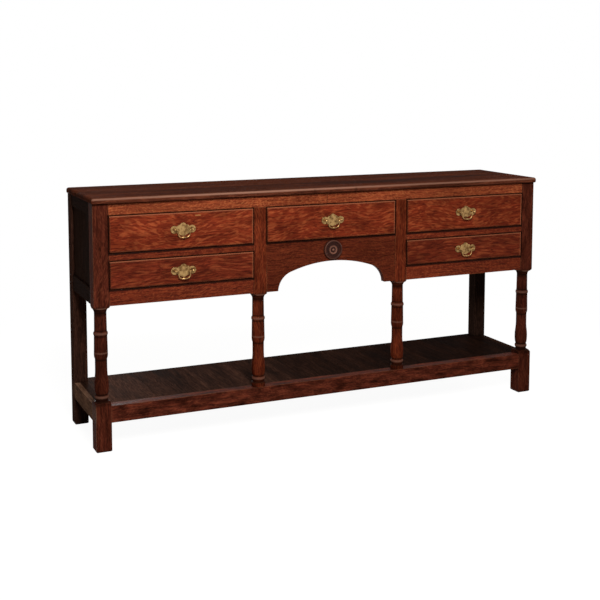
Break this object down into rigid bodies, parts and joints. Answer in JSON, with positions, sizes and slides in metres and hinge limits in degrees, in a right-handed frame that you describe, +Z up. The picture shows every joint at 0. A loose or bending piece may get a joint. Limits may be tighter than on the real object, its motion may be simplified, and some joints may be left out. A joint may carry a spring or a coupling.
{
  "type": "dresser base",
  "caption": "Long low oak dresser base with bead-edged drawers, arched apron, turned front posts and an open potboard near the floor.",
  "frame": {"origin": "on the floor, under the middle of the top board", "axes": "+X to the right along the front, +Y to the back, +Z up; the drawers open towards -Y"},
  "size_m": [1.714, 0.3796, 0.838],
  "materials": {
    "oak": "waxed",
    "dark_oak": "waxed",
    "inner_oak": "raw",
    "drawer_lining": "raw",
    "brass": "aged"
  },
  "bodies": {
    "case": {"apron": "oak", "apron_boss": "oak", "back_boards": "inner_oak", "back_frame": "inner_oak", "bottom_rails": "oak", "divider_rails": "oak", "drawer_kickers": "inner_oak", "drawer_runners": "inner_oak", "left_end_panel": "oak", "left_end_rails": "oak", "left_front_post": "oak", "left_middle_post": "oak", "left_rear_leg": "oak", "potboard_back_rail": "oak", "potboard_end_rails": "oak", "potboard_front_rail": "oak", "potboard_planks": "dark_oak", "right_end_panel": "oak", "right_end_rails": "oak", "right_front_post": "oak", "right_middle_post": "oak", "right_rear_leg": "oak", "top_front_plank": "dark_oak", "top_front_rail": "oak", "top_rear_plank": "dark_oak"},
    "left_upper_drawer": {"left_upper_drawer_back": "drawer_lining", "left_upper_drawer_bottom": "drawer_lining", "left_upper_drawer_front": "oak", "left_upper_drawer_pull_plate": "brass", "left_upper_drawer_pull_posts": "brass", "left_upper_drawer_sides": "drawer_lining"},
    "left_upper_drawer_bail": {"left_upper_drawer_bail": "brass"},
    "left_lower_drawer": {"left_lower_drawer_back": "drawer_lining", "left_lower_drawer_bottom": "drawer_lining", "left_lower_drawer_front": "oak", "left_lower_drawer_pull_plate": "brass", "left_lower_drawer_pull_posts": "brass", "left_lower_drawer_sides": "drawer_lining"},
    "left_lower_drawer_bail": {"left_lower_drawer_bail": "brass"},
    "centre_drawer": {"centre_drawer_back": "drawer_lining", "centre_drawer_bottom": "drawer_lining", "centre_drawer_front": "oak", "centre_drawer_pull_plate": "brass", "centre_drawer_pull_posts": "brass", "centre_drawer_sides": "drawer_lining"},
    "centre_drawer_bail": {"centre_drawer_bail": "brass"},
    "right_upper_drawer": {"right_upper_drawer_back": "drawer_lining", "right_upper_drawer_bottom": "drawer_lining", "right_upper_drawer_front": "oak", "right_upper_drawer_pull_plate": "brass", "right_upper_drawer_pull_posts": "brass", "right_upper_drawer_sides": "drawer_lining"},
    "right_upper_drawer_bail": {"right_upper_drawer_bail": "brass"},
    "right_lower_drawer": {"right_lower_drawer_back": "drawer_lining", "right_lower_drawer_bottom": "drawer_lining", "right_lower_drawer_front": "oak", "right_lower_drawer_pull_plate": "brass", "right_lower_drawer_pull_posts": "brass", "right_lower_drawer_sides": "drawer_lining"},
    "right_lower_drawer_bail": {"right_lower_drawer_bail": "brass"}
  },
  "joints": [
    {"name": "left_upper_drawer_slide", "type": "slide", "parent": "case", "child": "left_upper_drawer", "axis": [0, -1, 0], "range_m": [0, 0.24]},
    {"name": "left_upper_drawer_bail_swing", "type": "hinge", "parent": "left_upper_drawer", "child": "left_upper_drawer_bail", "pos_m": [-0.55, -0.1861, 0.72125], "axis": [-1, 0, 0], "range_deg": [0, 90]},
    {"name": "left_lower_drawer_slide", "type": "slide", "parent": "case", "child": "left_lower_drawer", "axis": [0, -1, 0], "range_m": [0, 0.24]},
    {"name": "left_lower_drawer_bail_swing", "type": "hinge", "parent": "left_lower_drawer", "child": "left_lower_drawer_bail", "pos_m": [-0.55, -0.1861, 0.58325], "axis": [-1, 0, 0], "range_deg": [0, 90]},
    {"name": "centre_drawer_slide", "type": "slide", "parent": "case", "child": "centre_drawer", "axis": [0, -1, 0], "range_m": [0, 0.24]},
    {"name": "centre_drawer_bail_swing", "type": "hinge", "parent": "centre_drawer", "child": "centre_drawer_bail", "pos_m": [0, -0.1861, 0.72125], "axis": [-1, 0, 0], "range_deg": [0, 90]},
    {"name": "right_upper_drawer_slide", "type": "slide", "parent": "case", "child": "right_upper_drawer", "axis": [0, -1, 0], "range_m": [0, 0.24]},
    {"name": "right_upper_drawer_bail_swing", "type": "hinge", "parent": "right_upper_drawer", "child": "right_upper_drawer_bail", "pos_m": [0.55, -0.1861, 0.72125], "axis": [-1, 0, 0], "range_deg": [0, 90]},
    {"name": "right_lower_drawer_slide", "type": "slide", "parent": "case", "child": "right_lower_drawer", "axis": [0, -1, 0], "range_m": [0, 0.24]},
    {"name": "right_lower_drawer_bail_swing", "type": "hinge", "parent": "right_lower_drawer", "child": "right_lower_drawer_bail", "pos_m": [0.55, -0.1861, 0.58325], "axis": [-1, 0, 0], "range_deg": [0, 90]}
  ]
}
